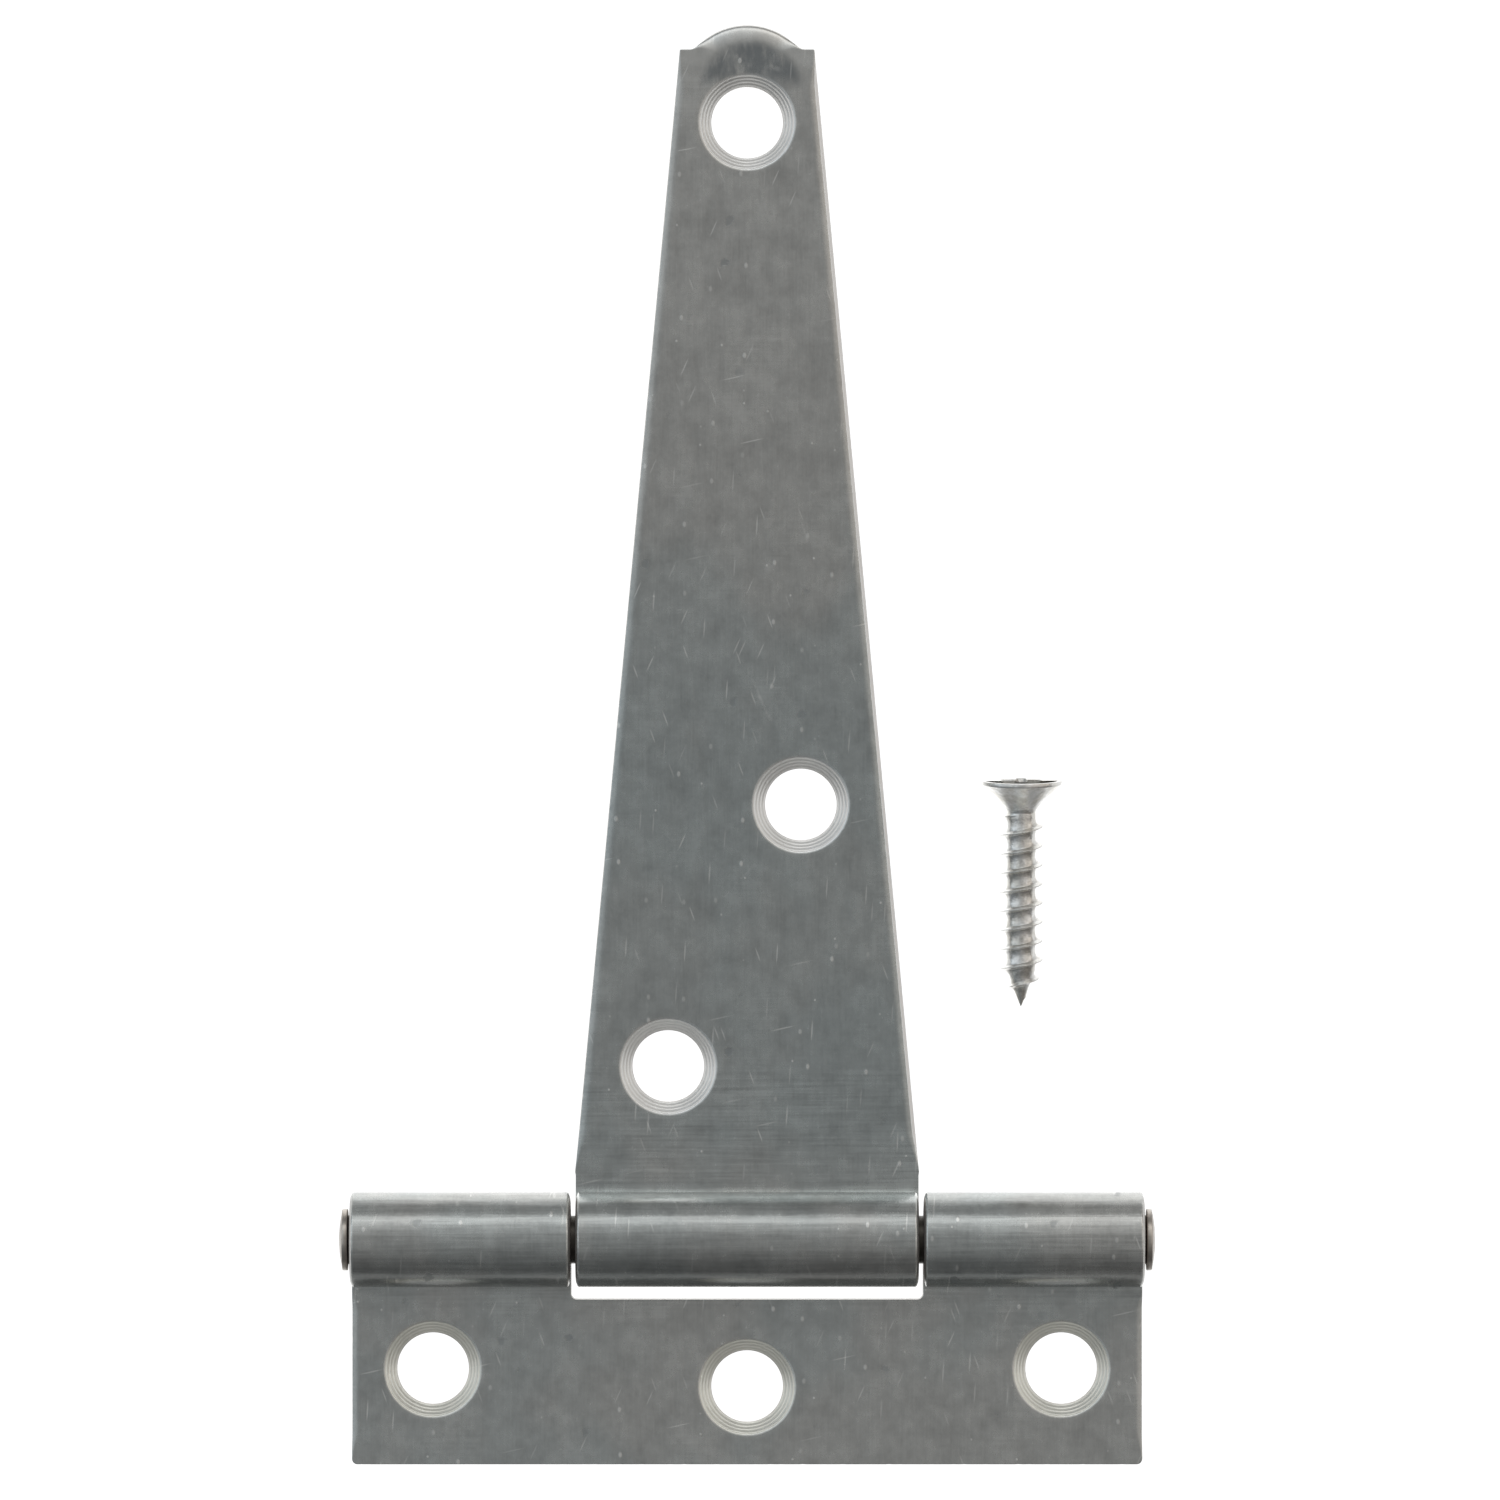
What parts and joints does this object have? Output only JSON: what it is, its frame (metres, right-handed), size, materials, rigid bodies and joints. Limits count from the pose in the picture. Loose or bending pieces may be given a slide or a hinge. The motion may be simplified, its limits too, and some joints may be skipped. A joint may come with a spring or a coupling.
{
  "type": "t hinge",
  "caption": "Light t hinge: tapered strap leaf and wide butt leaf rolled round one fixed pin, countersunk screw holes, and a loose wood screw.",
  "frame": {"origin": "on the plane of the two leaves' backs, straight below the middle of the pin's axis", "axes": "+X along the pin, +Y towards the strap's tip, +Z out of the front faces, with the hinge open and flat"},
  "size_m": [0.0682, 0.1205, 0.0079],
  "materials": {
    "zinc_plate": "dull zinc plate over rolled sheet steel, with fine scratches",
    "pin_steel": "zinc-plated pin, worn brownish grey on its peened heads",
    "bright_zinc": "bright zinc plate"
  },
  "bodies": {
    "butt": {"butt_leaf": "zinc_plate", "hinge_pin": "pin_steel"},
    "strap": {"strap_leaf": "zinc_plate"},
    "screw": {"wood_screw": "bright_zinc"}
  },
  "joints": [
    {"name": "strap_swing", "type": "hinge", "parent": "butt", "child": "strap", "pos_m": [0, 0, 0.00395], "axis": [1, 0, 0], "range_deg": [-100, 190]},
    {"name": "screw_lift", "type": "slide", "parent": "butt", "child": "screw", "axis": [0, 0, 1], "range_m": [0, 0.03]}
  ]
}
